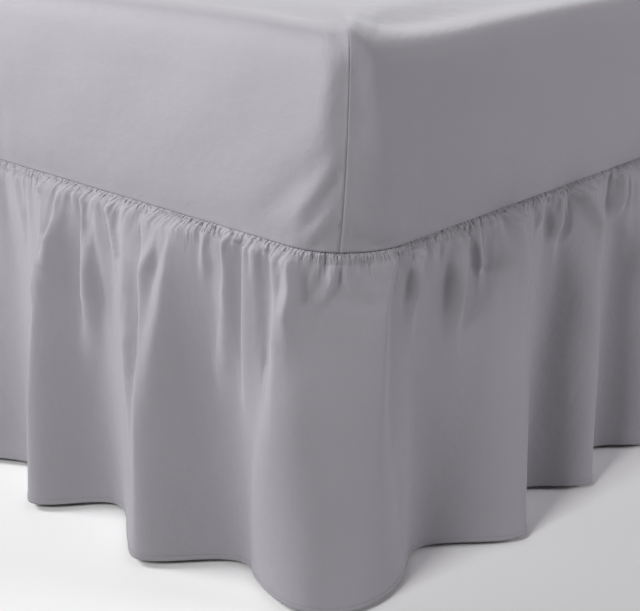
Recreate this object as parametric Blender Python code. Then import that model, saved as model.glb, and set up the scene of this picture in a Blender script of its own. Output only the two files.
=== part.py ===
"""A fitted bed skirt on its mattress and bed base.

A smooth cloth cover fits over the mattress. A gathered frill, one strip joined into a loop, is sewn to the
cover's lower edge and hangs round all four sides, nearly to the floor. Metres, +Z up. The origin is on the
floor under the middle of the bed, and the foot end faces -Y.
"""

import math
from collections import namedtuple

import bmesh
import bpy
import numpy as np

# Driving sizes
BED_WIDTH = 0.900
BED_LENGTH = 1.900
MATTRESS_DEPTH = 0.240
SEAM_HEIGHT = 0.413
HEM_HEIGHT = 0.006
CORNER_RADIUS = 0.090
CLOTH_THICKNESS = 0.002
TOUCH_GAP = 0.0003
EDGE_CLEARANCE = 0.0022
FLAT_INSET = 0.160

# The bed base and its feet
BASE_INSET = 0.012
BASE_EDGE_ROUNDING = 0.078
BASE_EDGE_STEPS = 8
FOOT_HEIGHT = 0.050
FOOT_RADIUS = 0.026
FOOT_INSET = 0.140
FOOT_SIDES = 20

# A ring round the bed: how far it lies below the mattress's top, how far inside the bed's outline, and the
# radius of its corners
Ring = namedtuple("Ring", "below_top inset corner")

# The mattress, from its underside to its flat top
MATTRESS_RINGS = (
    Ring(MATTRESS_DEPTH, 0.0000, 0.102),
    Ring(0.120, 0.0000, 0.076),
    Ring(0.040, 0.0010, 0.060),
    Ring(0.017, 0.0060, 0.056),
    Ring(0.005, 0.0160, 0.054),
    Ring(0.000, 0.0380, 0.060),
    Ring(0.000, FLAT_INSET, 0.090),
)

# The inside of the cover, from its lower edge to the flat middle of its top, where it rests on the
# mattress. The cloth is pulled tight at the corners, so they are sharper near the top.
COVER_RINGS = (
    Ring(MATTRESS_DEPTH, -EDGE_CLEARANCE, CORNER_RADIUS),
    Ring(0.205, -0.0062, 0.080),
    Ring(0.165, -0.0082, 0.068),
    Ring(0.120, -0.0088, 0.056),
    Ring(0.078, -0.0076, 0.048),
    Ring(0.042, -0.0046, 0.042),
    Ring(0.017, 0.0010, 0.038),
    Ring(0.003, 0.0110, 0.036),
    Ring(-0.0024, 0.0300, 0.042),
    Ring(-TOUCH_GAP, FLAT_INSET, 0.090),
)
ARC_STEPS = 9
WIDTH_STEPS = 12
LENGTH_STEPS = 20
CORNER_CROWDING = 0.6

# The pull of the cover presses the mattress's top corners down: how far, and how far along the edge
CORNER_DIP = 0.009
CORNER_DIP_RUN = 0.150
DIP_REACHES_DOWN = 0.150

# The cover's creases at the front right corner. Each row has its place along the edge and below the top,
# its height, its half sizes along and down, and how far it slants along the edge as it goes down.
Crease = namedtuple("Crease", "at below_top height half_along half_down slant")
CREASES = (
    Crease(0.034, 0.062, -0.0034, 0.026, 0.042, 0.0),
    Crease(-0.034, 0.058, -0.0024, 0.024, 0.036, 0.0),
    Crease(-0.052, 0.176, 0.0030, 0.024, 0.040, 0.9),
    Crease(-0.118, 0.190, -0.0016, 0.034, 0.034, 0.9),
    Crease(0.062, 0.205, 0.0026, 0.040, 0.020, 0.0),
)

# Soft swells that lie all round the cover's sides: how many, and between which limits each one varies
SWELL_COUNT = 26
SWELL_PLACE_SPREAD = 0.060
SWELL_DEPTHS = (0.072, 0.168)
SWELL_HEIGHTS = (-0.0011, 0.0018)
SWELL_HALF_ALONGS = (0.065, 0.112)
SWELL_HALF_DOWN = 0.050
SWELL_SLANTS = (-0.6, 0.6)

# The frill. A place along its edge is a distance along the seam, anticlockwise from the middle of the
# corner at +X -Y. Each row is a crest or a valley of the hem: where it starts at the seam, where it meets
# the hem, and how far the hem stands out there.
Fold = namedtuple("Fold", "seam_at hem_at reach")
FRONT_CORNER_FOLDS = (
    Fold(-0.700, -0.596, 0.146),
    Fold(-0.620, -0.490, 0.102),
    Fold(-0.556, -0.412, 0.150),
    Fold(-0.420, -0.318, 0.083),
    Fold(-0.305, -0.213, 0.134),
    Fold(-0.180, -0.092, 0.056),
    Fold(-0.030, -0.020, 0.092),
    Fold(0.090, 0.085, 0.019),
    Fold(0.300, 0.213, 0.093),
    Fold(0.370, 0.300, 0.036),
    Fold(0.462, 0.386, 0.092),
    Fold(0.545, 0.470, 0.050),
    Fold(0.630, 0.562, 0.108),
)
CREST_SPACING = 0.192
CREST_REACH = 0.124
VALLEY_REACH = 0.052
REACH_SPREAD = 0.016
PLACE_SPREAD = 0.014
CORNER_REACH = 0.100
LEAN_SHARE = 0.26
LEAN_FADE = 0.42
FLARE_POWER = 0.85
HEM_LIFT = 0.020
PUFF_REACH = 0.007
PUFF_DEPTH = 0.035
SEAM_REACH = EDGE_CLEARANCE + CLOTH_THICKNESS / 2

# The gathers: narrow ridges that start at the seam and fade into the big folds. Each row has its place at
# the seam, how far it drifts sideways, its height, its half width, and the share of the drop that it runs.
Gather = namedtuple("Gather", "seam_at drift height half_width runs")
FRONT_CORNER_GATHERS = (
    Gather(-0.655, 0.015, 0.008, 0.014, 0.40),
    Gather(-0.615, 0.040, 0.006, 0.011, 0.22),
    Gather(-0.583, 0.020, 0.005, 0.010, 0.18),
    Gather(-0.553, 0.000, 0.012, 0.016, 0.80),
    Gather(-0.494, -0.015, 0.009, 0.015, 0.50),
    Gather(-0.447, 0.005, 0.011, 0.013, 0.50),
    Gather(-0.390, 0.050, 0.011, 0.013, 0.55),
    Gather(-0.350, 0.020, 0.005, 0.011, 0.20),
    Gather(-0.307, 0.000, 0.013, 0.016, 0.85),
    Gather(-0.247, -0.015, 0.009, 0.014, 0.52),
    Gather(-0.200, 0.000, 0.005, 0.011, 0.18),
    Gather(-0.166, 0.000, 0.010, 0.011, 0.45),
    Gather(-0.133, 0.004, 0.010, 0.012, 0.45),
    Gather(-0.084, 0.010, 0.011, 0.014, 0.60),
    Gather(-0.046, 0.004, 0.010, 0.012, 0.28),
    Gather(-0.002, -0.035, 0.008, 0.011, 0.28),
    Gather(0.044, -0.004, 0.008, 0.012, 0.45),
    Gather(0.090, 0.004, 0.008, 0.012, 0.20),
    Gather(0.128, 0.000, 0.007, 0.012, 0.32),
    Gather(0.186, 0.000, 0.009, 0.014, 0.38),
    Gather(0.236, 0.010, 0.006, 0.012, 0.18),
    Gather(0.274, 0.014, 0.007, 0.012, 0.20),
    Gather(0.312, -0.004, 0.010, 0.015, 0.70),
    Gather(0.352, 0.000, 0.005, 0.011, 0.18),
    Gather(0.396, 0.004, 0.006, 0.012, 0.25),
    Gather(0.434, 0.020, 0.008, 0.013, 0.30),
    Gather(0.476, -0.008, 0.010, 0.015, 0.65),
    Gather(0.532, 0.000, 0.006, 0.012, 0.30),
    Gather(0.574, -0.020, 0.008, 0.013, 0.35),
    Gather(0.622, 0.000, 0.009, 0.014, 0.55),
)
GATHER_SPACING = 0.043
GATHER_PLACE_SPREAD = 0.011
GATHER_DRIFTS = (-0.020, 0.020)
GATHER_HEIGHTS = (0.0045, 0.0115)
GATHER_HALF_WIDTHS = (0.0105, 0.0160)
GATHER_RUNS = (0.18, 0.75)
GATHER_START = 0.05
GATHER_FADE_POWER = 0.8
SEED = 11

# How finely the frill is built: rings at these shares of the drop, and columns that lie closer together
# towards the front right corner
FRILL_ROWS = (1.0, 0.55, 0.28, 0.12, 0.04, 0.0)
FRILL_COLUMNS = 432
FRONT_CROWDING = 0.2

SIDE_X = BED_WIDTH - 2 * CORNER_RADIUS
SIDE_Y = BED_LENGTH - 2 * CORNER_RADIUS
ARC = math.pi / 2 * CORNER_RADIUS
STRETCHES = np.array([ARC, SIDE_Y, ARC, SIDE_X] * 2)
STRETCH_STARTS = np.concatenate([[0.0], STRETCHES.cumsum()[:-1]])
EDGE_LENGTH = float(STRETCHES.sum())
CORNERS_AT = tuple(float(start) for start in STRETCH_STARTS[::2])

# What each piece is made of
Finish = namedtuple("Finish", "name colour roughness")
COVER_CLOTH = Finish("cover_cloth", (0.42, 0.41, 0.44, 1.0), 0.85)
FRILL_CLOTH = Finish("frill_cloth", (0.42, 0.41, 0.44, 1.0), 0.85)
TICKING = Finish("ticking", (0.72, 0.71, 0.68, 1.0), 0.90)
BASE_CLOTH = Finish("base_cloth", (0.50, 0.48, 0.45, 1.0), 0.90)
FOOT_PLASTIC = Finish("foot_plastic", (0.05, 0.05, 0.05, 1.0), 0.50)
SHARP_ANGLE = math.radians(50)


def material(finish):
    made = bpy.data.materials.new(finish.name)
    made.use_nodes = True
    shader = made.node_tree.nodes["Principled BSDF"]
    shader.inputs["Base Color"].default_value = finish.colour
    shader.inputs["Roughness"].default_value = finish.roughness
    shader.inputs["Metallic"].default_value = 0.0
    return made


def add_object(name, shape, made_of):
    """Turns a finished bmesh into a named object of its own material."""
    mesh = bpy.data.meshes.new(name)
    shape.to_mesh(mesh)
    shape.free()
    mesh.materials.append(made_of)
    mesh.shade_smooth()
    mesh.set_sharp_from_angle(angle=SHARP_ANGLE)
    made = bpy.data.objects.new(name, mesh)
    bpy.context.scene.collection.objects.link(made)
    return made


def edge_point(at, inset=0.0, corner=CORNER_RADIUS):
    """The plan point and the outward direction for places along the edge, on the outline or inside it."""
    along = np.mod(np.asarray(at, float) + ARC / 2, EDGE_LENGTH)
    stretch = np.searchsorted(STRETCH_STARTS, along, side="right") - 1
    share = (along - STRETCH_STARTS[stretch]) / STRETCHES[stretch]
    k, straight = stretch // 2, stretch % 2
    angle = (k - 1 + np.where(straight, 1, share)) * math.pi / 2
    outward = np.stack([np.cos(angle), np.sin(angle)], axis=-1)
    forward = np.stack([-np.sin(angle), np.cos(angle)], axis=-1)
    half = np.array([BED_WIDTH, BED_LENGTH]) / 2 - inset - corner
    signs = np.array([(1, -1), (1, 1), (-1, 1), (-1, -1)])
    run = 2 * np.where(k % 2, half[0], half[1]) * share * straight
    return signs[k] * half + outward * corner + forward * run[..., None], outward


def lean(seam_at):
    """How far a fold slants towards the nearest corner on its way down."""
    away = min((seam_at - corner for corner in (*CORNERS_AT, EDGE_LENGTH)), key=abs)
    return LEAN_SHARE * away * math.exp(-((away / LEAN_FADE) ** 2))


def fill_folds(start, end, rng):
    """Valleys and crests between the crest at start and the crest at end."""
    count = max(1, round((end - start) / CREST_SPACING))
    rows = []
    for i in range(2 * count - 1):
        at = start + (end - start) * (i + 1) / (2 * count) + rng.uniform(-PLACE_SPREAD, PLACE_SPREAD)
        reach = (CREST_REACH if i % 2 else VALLEY_REACH) + rng.uniform(-REACH_SPREAD, REACH_SPREAD)
        rows.append(Fold(at, at - lean(at), reach))
    return rows


def all_folds():
    """The big folds round the whole bed, in order along the seam."""
    rng = np.random.default_rng(SEED)
    rows = list(FRONT_CORNER_FOLDS)
    for corner in CORNERS_AT[1:]:
        rows += fill_folds(rows[-1].seam_at, corner, rng)
        rows.append(Fold(corner, corner, CORNER_REACH))
    return rows + fill_folds(rows[-1].seam_at, rows[0].seam_at + EDGE_LENGTH, rng)


def all_gathers():
    """The narrow gathers round the whole bed, in order along the seam."""
    rng = np.random.default_rng(SEED + 1)
    rows = list(FRONT_CORNER_GATHERS)
    start, end = rows[-1].seam_at, rows[0].seam_at + EDGE_LENGTH
    count = round((end - start) / GATHER_SPACING)
    for i in range(1, count):
        at = start + (end - start) * i / count + rng.uniform(-GATHER_PLACE_SPREAD, GATHER_PLACE_SPREAD)
        drift = rng.uniform(*GATHER_DRIFTS)
        height = rng.uniform(*GATHER_HEIGHTS)
        half_width = rng.uniform(*GATHER_HALF_WIDTHS)
        rows.append(Gather(at, drift, height, half_width, rng.uniform(*GATHER_RUNS)))
    return rows


def all_creases():
    """The creases at the front right corner, and soft swells all round the cover."""
    rng = np.random.default_rng(SEED + 2)
    rows = list(CREASES)
    for i in range(SWELL_COUNT):
        at = i * EDGE_LENGTH / SWELL_COUNT + rng.uniform(-SWELL_PLACE_SPREAD, SWELL_PLACE_SPREAD)
        below_top = rng.uniform(*SWELL_DEPTHS)
        height = rng.uniform(*SWELL_HEIGHTS)
        half_along = rng.uniform(*SWELL_HALF_ALONGS)
        rows.append(Crease(at, below_top, height, half_along, SWELL_HALF_DOWN, rng.uniform(*SWELL_SLANTS)))
    return rows


ALL_CREASES = all_creases()
FOLDS = all_folds()
FOLD_PLACES = np.array([fold.seam_at for fold in FOLDS])
FOLD_REACHES = np.array([fold.reach for fold in FOLDS])
FOLD_SHIFTS = np.array([fold.hem_at - fold.seam_at for fold in FOLDS])
GATHERS = all_gathers()


def hem_reach(at):
    """How far the hem stands out below places on the seam, turning smoothly at each crest and valley."""
    start = FOLD_PLACES[0]
    along = start + np.mod(at - start, EDGE_LENGTH)
    places = np.append(FOLD_PLACES, start + EDGE_LENGTH)
    reaches = np.append(FOLD_REACHES, FOLD_REACHES[0])
    i = np.searchsorted(places, along, side="right") - 1
    share = (along - places[i]) / (places[i + 1] - places[i])
    return reaches[i] + (reaches[i + 1] - reaches[i]) * (1 - np.cos(math.pi * share)) / 2


def gathers_out(at, drop):
    """How far the gathers stand out at places along the seam and a share of the drop."""
    out = np.zeros_like(at)
    for row in GATHERS:
        if drop >= row.runs:
            continue
        share = drop / row.runs
        away = at - row.seam_at - row.drift * share
        away = np.mod(away + EDGE_LENGTH / 2, EDGE_LENGTH) - EDGE_LENGTH / 2
        fade = math.cos(math.pi / 2 * share) ** GATHER_FADE_POWER
        height = row.height * min(1.0, drop / GATHER_START) * fade
        out += height * np.exp(-((away / row.half_width / (1 + share)) ** 2))
    return out


def frill_line(at, drop):
    """The middle of the cloth at a share of the drop."""
    reach = hem_reach(at)
    shift = np.interp(at, FOLD_PLACES, FOLD_SHIFTS, period=EDGE_LENGTH)
    puff = PUFF_REACH * (1 - math.exp(-drop / PUFF_DEPTH)) * (1 - drop)
    out = SEAM_REACH + puff + (reach - SEAM_REACH) * drop**FLARE_POWER + gathers_out(at, drop)
    point, outward = edge_point(at + shift * drop)
    height = (SEAM_HEIGHT - TOUCH_GAP) * (1 - drop) + (HEM_HEIGHT + HEM_LIFT * reach) * drop
    return np.column_stack([point + outward * out[:, None], height])


def frill_sides(at, drop):
    """The cloth's inner and outer points at a share of the drop, square to the cloth in the plan."""
    step = 1e-4
    line = frill_line(at, drop)
    along = frill_line(at + step, drop) - frill_line(at - step, drop)
    square = np.column_stack([along[:, 1], -along[:, 0], np.zeros(len(at))])
    square *= CLOTH_THICKNESS / 2 / np.linalg.norm(square, axis=1)[:, None]
    return line - square, line + square


def cover_sides(at, number):
    """The inner and outer points of one ring of the cover, the outer ones a cloth's thickness away."""
    ring = COVER_RINGS[number]
    last = len(COVER_RINGS) - 1
    low, top = COVER_RINGS[max(number - 1, 0)], COVER_RINGS[min(number + 1, last)]
    rise = (low.below_top - top.below_top) * (number < last)
    run = (top.inset - low.inset) * (number > 0)
    scale = CLOTH_THICKNESS / math.hypot(rise, run)
    outer = Ring(ring.below_top - run * scale, ring.inset - rise * scale, ring.corner + rise * scale)
    crease = creases_out(at, ring.below_top)
    return ring_points(at, ring, crease), ring_points(at, outer, crease)


def creases_out(at, below_top):
    """How far the cover's creases stand out at places along the edge and a depth below the top."""
    out = np.zeros_like(at)
    for row in ALL_CREASES:
        down = below_top - row.below_top
        away = np.mod(at - row.at - row.slant * down + EDGE_LENGTH / 2, EDGE_LENGTH) - EDGE_LENGTH / 2
        out += row.height * np.exp(-((away / row.half_along) ** 2) - (down / row.half_down) ** 2)
    return out


def ring_points(at, ring, out=0.0):
    """The points of one ring round the bed."""
    point, outward = edge_point(at, ring.inset, ring.corner)
    height = SEAM_HEIGHT + MATTRESS_DEPTH - ring.below_top - corner_dip(at, ring)
    return np.column_stack([point + outward * np.broadcast_to(out, len(at))[:, None], height])


def corner_dip(at, ring):
    """How far a ring is pressed down near each corner: nothing low on the sides or on the flat top."""
    away = [np.mod(at - corner + EDGE_LENGTH / 2, EDGE_LENGTH) - EDGE_LENGTH / 2 for corner in CORNERS_AT]
    near = sum(np.exp(-((gap / CORNER_DIP_RUN) ** 2)) for gap in away)
    on_side = np.clip(1 - ring.below_top / DIP_REACHES_DOWN, 0, 1)
    return CORNER_DIP * near * on_side * (ring.inset < FLAT_INSET)


def bed_columns():
    """Places along the edge for the cover and the mattress, close together at the corners."""
    columns = []
    for k, corner in enumerate(CORNERS_AT):
        columns += list(corner - ARC / 2 + ARC * np.arange(ARC_STEPS) / ARC_STEPS)
        side, steps = (SIDE_X, WIDTH_STEPS) if k % 2 else (SIDE_Y, LENGTH_STEPS)
        share = np.arange(steps) / steps
        share -= CORNER_CROWDING * np.sin(2 * math.pi * share) / (2 * math.pi)
        columns += list(corner + ARC / 2 + side * share)
    return np.array(columns)


def add_ring(shape, points):
    return [shape.verts.new(point) for point in points]


def join_rings(shape, outer, inner=None):
    """Joins rings of vertices, each above the last. An inner skin is cut in the same triangles."""
    for n in range(len(outer) - 1):
        for i in range(len(outer[n])):
            square = ((n, i - 1), (n, i), (n + 1, i), (n + 1, i - 1))
            a, b, c, d = (outer[row][column].co for row, column in square)
            cuts = ((0, 1, 2), (0, 2, 3)) if (a - c).length < (b - d).length else ((0, 1, 3), (1, 2, 3))
            for cut in cuts:
                shape.faces.new([outer[square[j][0]][square[j][1]] for j in cut])
                if inner:
                    shape.faces.new([inner[square[j][0]][square[j][1]] for j in reversed(cut)])


def join_edge(shape, inner, outer, upward):
    """Closes a sheet along one of its edges, between the rings of its two skins."""
    for i in range(len(inner)):
        face = [inner[i - 1], inner[i], outer[i], outer[i - 1]]
        shape.faces.new(face[::-1] if upward else face)


def build_cover():
    """The cloth over the mattress: a thin cap, open below, whose lower edge carries the frill."""
    columns = bed_columns()
    shape = bmesh.new()
    sides = [cover_sides(columns, number) for number in range(len(COVER_RINGS))]
    inner = [add_ring(shape, inside) for inside, _ in sides]
    outer = [add_ring(shape, outside) for _, outside in sides]
    join_rings(shape, outer, inner)
    join_edge(shape, inner[0], outer[0], False)
    shape.faces.new(outer[-1])
    shape.faces.new(inner[-1][::-1])
    return add_object("fitted_cover", shape, material(COVER_CLOTH))


def build_frill():
    """The gathered frill: a thin sheet that closes on itself round the bed."""
    share = np.arange(FRILL_COLUMNS) / FRILL_COLUMNS
    columns = EDGE_LENGTH * (share - FRONT_CROWDING * np.sin(2 * math.pi * share) / (2 * math.pi))
    shape = bmesh.new()
    sides = [frill_sides(columns, drop) for drop in FRILL_ROWS]
    inner = [add_ring(shape, inside) for inside, _ in sides]
    outer = [add_ring(shape, outside) for _, outside in sides]
    join_rings(shape, outer, inner)
    join_edge(shape, inner[0], outer[0], False)
    join_edge(shape, inner[-1], outer[-1], True)
    return add_object("frill", shape, material(FRILL_CLOTH))


def build_mattress():
    columns = bed_columns()
    shape = bmesh.new()
    rows = [add_ring(shape, ring_points(columns, ring)) for ring in MATTRESS_RINGS]
    join_rings(shape, rows)
    shape.faces.new(rows[0][::-1])
    shape.faces.new(rows[-1])
    return add_object("mattress", shape, material(TICKING))


def build_base():
    """The plain upholstered box under the mattress."""
    height = SEAM_HEIGHT - TOUCH_GAP - FOOT_HEIGHT
    size = (BED_WIDTH - 2 * BASE_INSET, BED_LENGTH - 2 * BASE_INSET, height)
    shape = bmesh.new()
    bmesh.ops.create_cube(shape, size=1.0)
    bmesh.ops.scale(shape, vec=size, verts=shape.verts)
    bmesh.ops.translate(shape, vec=(0, 0, FOOT_HEIGHT + height / 2), verts=shape.verts)
    upright = [edge for edge in shape.edges if abs(edge.verts[0].co.z - edge.verts[1].co.z) > height / 2]
    bmesh.ops.bevel(
        shape, geom=upright, offset=BASE_EDGE_ROUNDING, segments=BASE_EDGE_STEPS, profile=0.5, affect="EDGES"
    )
    return add_object("bed_base", shape, material(BASE_CLOTH))


def build_foot(name, x, y, plastic):
    height = FOOT_HEIGHT - TOUCH_GAP
    shape = bmesh.new()
    bmesh.ops.create_cone(
        shape, cap_ends=True, segments=FOOT_SIDES, radius1=FOOT_RADIUS, radius2=FOOT_RADIUS, depth=height
    )
    foot = add_object(name, shape, plastic)
    foot.location = (x, y, height / 2)
    return foot


def main():
    for old in list(bpy.data.objects):
        bpy.data.objects.remove(old, do_unlink=True)
    build_cover()
    build_frill()
    build_mattress()
    build_base()
    plastic = material(FOOT_PLASTIC)
    for end, y in (("front", -1), ("middle", 0), ("back", 1)):
        for side, x in (("left", -1), ("right", 1)):
            place = (x * (BED_WIDTH / 2 - FOOT_INSET), y * (BED_LENGTH / 2 - FOOT_INSET))
            build_foot(f"foot_{end}_{side}", *place, plastic)


main()
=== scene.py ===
"""The finished look of a fitted bed skirt on its mattress and bed base.

The cover and the frill are thin sheets of plain weave on the folds of their solids, with the creases,
puckers, seams and stitching of sewn cloth. Metres, +Z up, the foot end of the bed towards -Y.
"""

import math
from collections import namedtuple

import bpy
import numpy as np
from bpy.props import FloatProperty, FloatVectorProperty, PointerProperty
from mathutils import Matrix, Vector


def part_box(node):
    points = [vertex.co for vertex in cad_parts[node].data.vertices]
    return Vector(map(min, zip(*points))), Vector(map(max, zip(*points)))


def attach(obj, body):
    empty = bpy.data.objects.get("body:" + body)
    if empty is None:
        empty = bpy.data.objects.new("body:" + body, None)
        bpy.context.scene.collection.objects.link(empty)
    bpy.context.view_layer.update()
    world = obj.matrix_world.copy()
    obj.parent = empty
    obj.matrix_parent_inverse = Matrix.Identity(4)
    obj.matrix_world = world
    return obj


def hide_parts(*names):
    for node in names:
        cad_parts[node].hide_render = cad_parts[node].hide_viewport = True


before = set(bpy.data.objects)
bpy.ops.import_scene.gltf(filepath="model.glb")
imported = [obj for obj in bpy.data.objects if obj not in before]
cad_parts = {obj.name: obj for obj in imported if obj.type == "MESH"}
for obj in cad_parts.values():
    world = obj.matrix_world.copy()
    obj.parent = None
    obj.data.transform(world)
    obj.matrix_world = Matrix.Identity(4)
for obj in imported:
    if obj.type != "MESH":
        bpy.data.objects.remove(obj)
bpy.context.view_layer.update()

bl_info = {
    "name": "Fitted bed skirt",
    "version": (1, 0, 0),
    "blender": (4, 5, 0),
    "location": "3D View > Sidebar > Bed Skirt",
    "description": "Makes the cloth, seams and bed of a fitted bed skirt",
    "category": "Add Mesh",
}

MATTRESS_LOW, MATTRESS_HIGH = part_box("mattress")
BED_WIDTH = MATTRESS_HIGH[0] - MATTRESS_LOW[0]
BED_LENGTH = MATTRESS_HIGH[1] - MATTRESS_LOW[1]
SEAM_HEIGHT = MATTRESS_LOW[2]
MATTRESS_DEPTH = MATTRESS_HIGH[2] - MATTRESS_LOW[2]
HEM_HEIGHT = 0.006
DROP = SEAM_HEIGHT - HEM_HEIGHT
CORNER_RADIUS = 0.090

# The camera that the photograph was taken with, and where it stood
CAMERA_PLACE = (1.1318, -1.7283, 0.7742)
CAMERA_AZIMUTH = math.radians(42.903)
CAMERA_ELEVATION = math.radians(21.61)
IMAGE_WIDTH = 640
FOCAL_PIXELS = 1033.7
SENSOR_WIDTH = 36.0

# The soft lights: the setting of each one's power, its place, its target, its size and its colour. The one at
# the right is a little lilac.
LIGHT_SPREAD = math.radians(80)
LIGHTS = (
    ("key", "main_light", (-2.3, -2.2, 1.9), (0.1, -0.8, 0.95), 1.0, (1, 1, 1)),
    ("front", "front_light", (0.3, -3.2, 2.1), (0.2, -0.8, 0.95), 1.0, (1, 1, 1)),
    ("fill", "fill_light", (3.3, 1.3, 1.4), (0.58, -0.55, 0.45), 1.2, (0.985, 0.955, 1.0)),
    ("back", "back_light", (-1.5, 2.6, 2.7), (-0.1, 0.1, 0.5), 1.2, (1, 1, 1)),
)

# The bed's outline at seam height: four rounded corners and four straight sides. A place along it is a
# distance along the seam, anticlockwise from the middle of the front right corner.
SIDE_X = BED_WIDTH - 2 * CORNER_RADIUS
SIDE_Y = BED_LENGTH - 2 * CORNER_RADIUS
ARC = math.pi / 2 * CORNER_RADIUS
STRETCHES = np.array([ARC, SIDE_Y, ARC, SIDE_X] * 2)
STRETCH_STARTS = np.concatenate([[0.0], STRETCHES.cumsum()[:-1]])
EDGE_LENGTH = float(STRETCHES.sum())
CORNERS_AT = tuple(float(start) for start in STRETCH_STARTS[::2])

# The outside of the cover from its lower edge to the flat middle of its top: how far below the mattress's
# top each ring lies, how far inside the bed's outline, and the radius of its corners
RINGS_BELOW, RING_INSETS, RING_CORNERS = np.array((
    (0.24, -0.0036, 0.09),
    (0.2388, -0.0042, 0.09),
    (0.235, -0.0046, 0.089),
    (0.205, -0.0082, 0.08),
    (0.165, -0.0102, 0.068),
    (0.12, -0.0108, 0.056),
    (0.078, -0.0096, 0.048),
    (0.042, -0.0064, 0.042),
    (0.016, -0.0006, 0.039),
    (0.0014, 0.01, 0.037),
    (-0.0042, 0.03, 0.044),
    (-0.004, 0.07, 0.056),
    (-0.0024, 0.16, 0.09),
    (-0.0024, 0.26, 0.09),
    (-0.0024, 0.4, 0.04),
)).T
SIDE_RINGS = 10
SIDE_TURNS_IN = (-0.006, 0.020)
LOWEST_RUNS = (0.0, 0.0006, 0.0013, 0.0026, 0.0048)
FLAT_INSET = 0.150
FLAT_CLOTH_INSET = 0.06
COVER_ROWS = 64
MATTRESS_ROWS = 32
MATTRESS_GAP = 0.0012
COVER_ARC_COLUMNS = 24
COVER_WIDTH_COLUMNS = 60
COVER_LENGTH_COLUMNS = 110
CORNER_CROWDING = 0.6
CORNER_DIP = 0.009
CORNER_DIP_RUN = 0.150
DIP_REACHES_DOWN = 0.150
DIP_FADES_FROM = 0.04

# How far the top's edge is pressed down at places along it near the front right corner. The corner's seam
# holds the cloth up.
FRONT_CORNER_DIPS = (
    (-0.6, 0.0), (-0.3, 0.001), (-0.15, 0.004), (-0.06, 0.008), (-0.02, 0.007), (0.0, 0.004),
    (0.04, 0.01), (0.09, 0.017), (0.16, 0.02), (0.29, 0.015), (0.47, 0.009), (0.7, 0.005),
    (1.0, 0.002), (1.3, 0.0),
)

# A crease: where it starts and ends along the edge and below the top, its height, which is negative for a
# trough, and its half width
Crease = namedtuple("Crease", "start_at start_down end_at end_down height half_width")
COVER_CREASES = [Crease(*row) for row in (
    (0.016, 0.03, 0.026, 0.11, -0.005, 0.019),
    (-0.012, 0.034, -0.016, 0.1, -0.0026, 0.022),
    (0.01, 0.008, 0.042, 0.014, 0.0024, 0.006),
    (0.014, 0.016, 0.046, 0.026, -0.002, 0.006),
    (-0.016, 0.128, -0.074, 0.205, 0.0026, 0.011),
    (-0.012, 0.15, -0.052, 0.212, -0.0022, 0.009),
    (-0.014, 0.172, -0.046, 0.226, 0.0022, 0.008),
    (-0.05, 0.13, -0.12, 0.212, -0.0022, 0.014),
    (0.0, 0.212, -0.04, 0.234, -0.0016, 0.006),
    (0.002, 0.204, 0.04, 0.224, 0.0014, 0.008),
    (0.002, 0.216, 0.046, 0.234, -0.0016, 0.006),
    (0.05, 0.216, 0.096, 0.196, 0.0014, 0.01),
    (0.18, 0.07, 0.3, 0.12, -0.0026, 0.024),
    (0.15, 0.16, 0.33, 0.13, 0.0024, 0.026),
    (-0.62, 0.228, -0.585, 0.16, 0.0028, 0.01),
    (-0.588, 0.228, -0.556, 0.176, 0.0026, 0.009),
    (-0.55, 0.23, -0.524, 0.186, 0.0022, 0.009),
    (-0.41, 0.06, -0.25, 0.09, -0.0014, 0.028),
)]
CREASE_FULL_SHARE = 0.3
CREASE_END_SHARE = 0.22

# Long waves round the cover's sides: how many go round, how they turn with depth, their phase and strength
SWELLS = ((5, 9, 0.0, 1.0), (17, -21, 1.3, 1.0), (31, 34, 0.4, 0.7))
SWELL_HEIGHT = 0.0010

# The sewn seam down each corner
SEAM_LEANS = (-0.0075, 0.0040, -0.0030, 0.0050)
SEAM_LEAN_RUN = 0.05
SEAM_GROOVE_DEPTH = 0.0006
SEAM_GROOVE_WIDTH = 0.0007
SEAM_LIP_HEIGHT = 0.0005
SEAM_LIP_AT = 0.0032
SEAM_LIP_WIDTH = 0.0016
SEAM_COLUMN_OFFSETS = (0.0005, 0.0012, 0.0022, 0.0034, 0.0050)
SEAM_COLUMN_CLEARANCE = 0.001

# The frill's folds, the same as in the part's source. Each row is a crest or a valley of the hem: where it
# starts at the seam, where it meets the hem, and how far the hem stands out there.
Fold = namedtuple("Fold", "seam_at hem_at reach")
FRONT_CORNER_FOLDS = [Fold(*row) for row in (
    (-0.7, -0.596, 0.146),
    (-0.62, -0.49, 0.102),
    (-0.536, -0.412, 0.15),
    (-0.42, -0.318, 0.083),
    (-0.296, -0.213, 0.134),
    (-0.18, -0.092, 0.056),
    (-0.03, -0.02, 0.092),
    (0.09, 0.085, 0.019),
    (0.288, 0.213, 0.093),
    (0.37, 0.3, 0.036),
    (0.452, 0.386, 0.092),
    (0.545, 0.47, 0.05),
    (0.63, 0.562, 0.108),
)]
CREST_SPACING = 0.192
CREST_REACH = 0.124
VALLEY_REACH = 0.052
REACH_SPREAD = 0.016
PLACE_SPREAD = 0.014
CORNER_REACH = 0.100
LEAN_SHARE = 0.26
LEAN_FADE = 0.42
FLARE_POWER = 0.85
HEM_LIFT = 0.020
PUFF_REACH = 0.0026
PUFF_DEPTH = 0.035
SEAM_REACH = 0.0042
SEED = 11

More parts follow.
